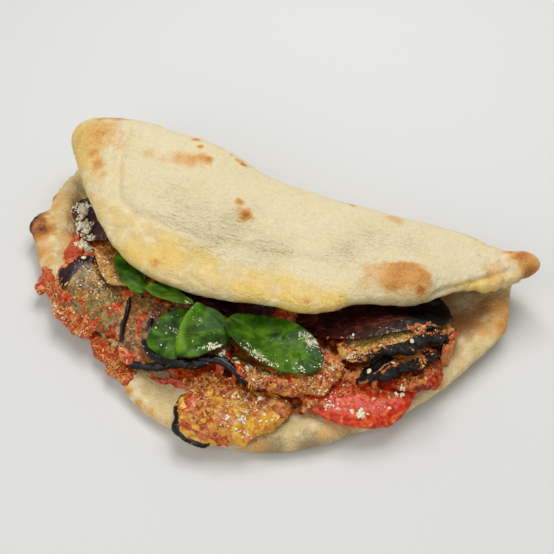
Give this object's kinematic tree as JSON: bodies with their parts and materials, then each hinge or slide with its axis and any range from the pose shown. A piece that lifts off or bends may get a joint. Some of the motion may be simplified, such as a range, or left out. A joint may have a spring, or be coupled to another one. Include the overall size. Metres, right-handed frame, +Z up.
{
  "type": "folded flatbread sandwich",
  "caption": "Round of baked dough folded over a filling of grilled aubergine, tomato, cured ham, basil and grated cheese, its open mouth towards the front.",
  "frame": {"origin": "on the flat underside of the bread, at table height, under the middle of the filling's mouth", "axes": "+X along the fold, towards the pinched end with the browned tip; +Z up from the table; -Y out of the open mouth"},
  "size_m": [0.236, 0.1511, 0.0443],
  "materials": {
    "bread": "floured, matte, browned in spots",
    "sauce": "wet",
    "tomato": "wet",
    "aubergine_flesh": "oily",
    "aubergine": "oily, charred at the skin",
    "cured_ham": "oily",
    "basil": "satin leaf"
  },
  "bodies": {
    "root": {"flatbread": "bread", "sauce_bed": "sauce", "tomato_slice_1": "tomato", "tomato_slice_2": "tomato", "aubergine_front": "aubergine_flesh", "aubergine_middle": "aubergine_flesh", "aubergine_left_top": "aubergine_flesh", "aubergine_left_low": "aubergine", "aubergine_right_low": "aubergine", "aubergine_right_top": "aubergine", "aubergine_centre_low": "aubergine", "aubergine_centre_top": "aubergine", "ham_right": "cured_ham", "ham_centre": "cured_ham", "ham_left": "cured_ham", "basil_back": "basil", "basil_left": "basil", "basil_curled": "basil", "basil_front": "basil"}
  },
  "joints": []
}
